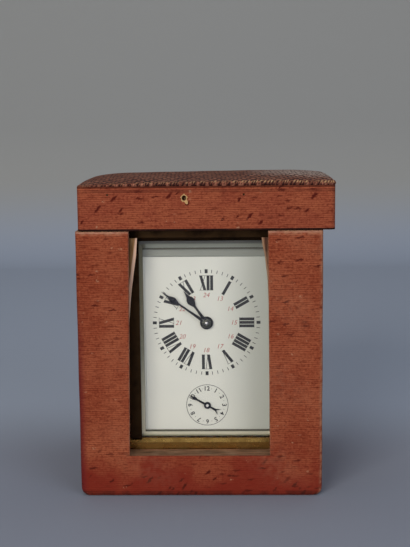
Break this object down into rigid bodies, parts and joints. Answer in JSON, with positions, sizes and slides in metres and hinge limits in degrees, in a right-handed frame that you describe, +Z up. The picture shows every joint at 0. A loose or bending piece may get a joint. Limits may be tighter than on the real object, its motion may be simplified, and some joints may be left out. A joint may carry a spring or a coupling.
{
  "type": "travelling alarm carriage clock in case",
  "caption": "Small alarm carriage clock with bevelled glass and enamel dial, standing in a red leather travelling case with a window front and a hinged lid.",
  "frame": {"origin": "centre of the travelling case's underside", "axes": "+X to the right of someone reading the dial, +Y to the back, +Z up; the dial faces -Y"},
  "size_m": [0.1129, 0.0998, 0.1416],
  "materials": {
    "case_leather": "worn ribbed red leather cloth",
    "lid_leather": "worn brown grained leather",
    "lining": "dark brown lining",
    "carcase_wood": "plain softwood",
    "slat_wood": "worn tan edge",
    "sill_wood": "brown-grey worn sill",
    "gilt_brass": "polished gilt",
    "hinge_brass": "dull",
    "plate_brass": "brushed",
    "bell_metal": "turned",
    "glass": "bevelled clear glass",
    "enamel": "white enamel",
    "black_steel": "blued and blackened",
    "steel": "polished arbors",
    "blue_steel": "blued spring"
  },
  "bodies": {
    "case": {"alarm_bell": "bell_metal", "back_plate": "plate_brass", "bail_posts": "gilt_brass", "balance_cock": "plate_brass", "case_back_board": "carcase_wood", "case_bottom_board": "carcase_wood", "case_front_sill": "sill_wood", "case_leather_cover": "case_leather", "case_left_board": "carcase_wood", "case_left_jamb": "carcase_wood", "case_lining": "lining", "case_right_board": "carcase_wood", "case_right_jamb": "carcase_wood", "clock_base": "gilt_brass", "clock_cornice": "gilt_brass", "clock_pillars": "gilt_brass", "dial_plate": "enamel", "front_glass": "glass", "front_plate": "plate_brass", "hairspring": "blue_steel", "hinge_case_halves": "hinge_brass", "left_guide_slat": "slat_wood", "lever_bridge": "plate_brass", "mainspring": "blue_steel", "plate_pillars": "plate_brass", "platform_plate": "plate_brass", "rear_door_frame": "gilt_brass", "rear_door_glass": "glass", "right_guide_slat": "slat_wood", "side_glasses": "glass", "top_glass": "glass"},
    "lid": {"lid_frame": "carcase_wood", "lid_top_board": "carcase_wood", "lid_leather_band": "case_leather", "lid_top_leather": "lid_leather", "lid_pad": "lining", "hinge_lid_halves": "hinge_brass"},
    "bail": {"bail_handle": "gilt_brass"},
    "minute": {"minute_hand": "black_steel", "cannon_pinion": "steel"},
    "minute_wheel_body": {"minute_wheel": "plate_brass"},
    "hour": {"hour_hand": "black_steel", "hour_wheel": "plate_brass"},
    "idler": {"idler_wheel": "plate_brass"},
    "alarm_wheel_body": {"alarm_wheel": "plate_brass"},
    "alarm_setting": {"alarm_hand": "black_steel", "alarm_arbor": "steel"},
    "contrate": {"contrate_wheel": "plate_brass"},
    "third": {"third_wheel": "plate_brass"},
    "centre": {"centre_wheel": "plate_brass"},
    "barrel": {"spring_barrel": "plate_brass"},
    "escape": {"escape_wheel": "plate_brass"},
    "lever_body": {"lever": "steel"},
    "balance": {"balance_wheel": "plate_brass"},
    "winding": {"barrel_arbor": "steel"},
    "click_body": {"click": "steel"},
    "alarm_spring_drum": {"alarm_drum": "plate_brass"},
    "hammer": {"alarm_hammer": "steel"}
  },
  "joints": [
    {"name": "lid_hinge", "type": "hinge", "parent": "case", "child": "lid", "pos_m": [0, 0.05, 0.11915], "axis": [-1, 0, 0], "range_deg": [0, 110]},
    {"name": "bail_hinge", "type": "hinge", "parent": "case", "child": "bail", "pos_m": [0.00265, -0.001, 0.1252], "axis": [-1, 0, 0], "range_deg": [0, 90]},
    {"name": "minute_hand_spin", "type": "hinge", "parent": "case", "child": "minute", "pos_m": [0.00265, -0.027, 0.0756], "axis": [0, 1, 0], "continuous": true},
    {"name": "minute_wheel_spin", "type": "hinge", "parent": "case", "child": "minute_wheel_body", "pos_m": [-0.00695, -0.024, 0.0756], "axis": [0, 1, 0], "continuous": true},
    {"name": "hour_hand_spin", "type": "hinge", "parent": "case", "child": "hour", "pos_m": [0.00265, -0.027, 0.0756], "axis": [0, 1, 0], "continuous": true},
    {"name": "idler_spin", "type": "hinge", "parent": "case", "child": "idler", "pos_m": [0.00265, -0.0248, 0.0564], "axis": [0, 1, 0], "continuous": true},
    {"name": "alarm_wheel_spin", "type": "hinge", "parent": "case", "child": "alarm_wheel_body", "pos_m": [0.00265, -0.0248, 0.0372], "axis": [0, 1, 0], "continuous": true},
    {"name": "alarm_hand_spin", "type": "hinge", "parent": "case", "child": "alarm_setting", "pos_m": [0.00265, -0.02, 0.0372], "axis": [0, 1, 0], "continuous": true},
    {"name": "contrate_spin", "type": "hinge", "parent": "case", "child": "contrate", "pos_m": [0.01679, -0.005, 0.07838], "axis": [0, 1, 0], "continuous": true},
    {"name": "third_wheel_spin", "type": "hinge", "parent": "case", "child": "third", "pos_m": [0.01415, -0.005, 0.06853], "axis": [0, 1, 0], "continuous": true},
    {"name": "centre_wheel_spin", "type": "hinge", "parent": "case", "child": "centre", "pos_m": [0.00265, -0.005, 0.0756], "axis": [0, 1, 0], "continuous": true},
    {"name": "barrel_spin", "type": "hinge", "parent": "case", "child": "barrel", "pos_m": [-0.00834, -0.003, 0.05937], "axis": [0, 1, 0], "continuous": true},
    {"name": "escape_wheel_spin", "type": "hinge", "parent": "case", "child": "escape", "pos_m": [0.01679, -0.00117, 0.09], "axis": [0, 0, 1], "continuous": true},
    {"name": "lever_swing", "type": "hinge", "parent": "case", "child": "lever_body", "pos_m": [0.01085, -0.00117, 0.093], "axis": [0, 0, 1], "range_deg": [-6, 6]},
    {"name": "balance_swing", "type": "hinge", "parent": "case", "child": "balance", "pos_m": [0.00325, -0.00117, 0.096], "axis": [0, 0, 1], "range_deg": [-270, 270], "stiffness_Nm_per_rad": 0.000006},
    {"name": "winding_spin", "type": "hinge", "parent": "case", "child": "winding", "pos_m": [-0.00834, -0.003, 0.05937], "axis": [0, 1, 0], "continuous": true},
    {"name": "click_lift", "type": "hinge", "parent": "case", "child": "click_body", "pos_m": [-0.00214, 0.0113, 0.06777], "axis": [0, 1, 0], "range_deg": [0, 15], "stiffness_Nm_per_rad": 0.0002, "springref_deg": -5.73},
    {"name": "alarm_drum_spin", "type": "hinge", "parent": "case", "child": "alarm_spring_drum", "pos_m": [0.01665, -0.003, 0.042], "axis": [0, 1, 0], "continuous": true},
    {"name": "hammer_swing", "type": "hinge", "parent": "case", "child": "hammer", "pos_m": [0.02795, -0.003, 0.031], "axis": [0, -1, 0], "range_deg": [0, 12]}
  ],
  "couplings": [
    {"joint": "bail_hinge", "follows": "lid_hinge", "ratio": 0.818},
    {"joint": "minute_wheel_spin", "follows": "minute_hand_spin", "ratio": -0.33333},
    {"joint": "hour_hand_spin", "follows": "minute_hand_spin", "ratio": 0.083333},
    {"joint": "idler_spin", "follows": "minute_hand_spin", "ratio": -0.055556},
    {"joint": "alarm_wheel_spin", "follows": "minute_hand_spin", "ratio": 0.083333},
    {"joint": "third_wheel_spin", "follows": "contrate_spin", "ratio": -0.13333},
    {"joint": "centre_wheel_spin", "follows": "contrate_spin", "ratio": 0.016667},
    {"joint": "barrel_spin", "follows": "contrate_spin", "ratio": -0.0027778},
    {"joint": "escape_wheel_spin", "follows": "contrate_spin", "ratio": 8}
  ]
}
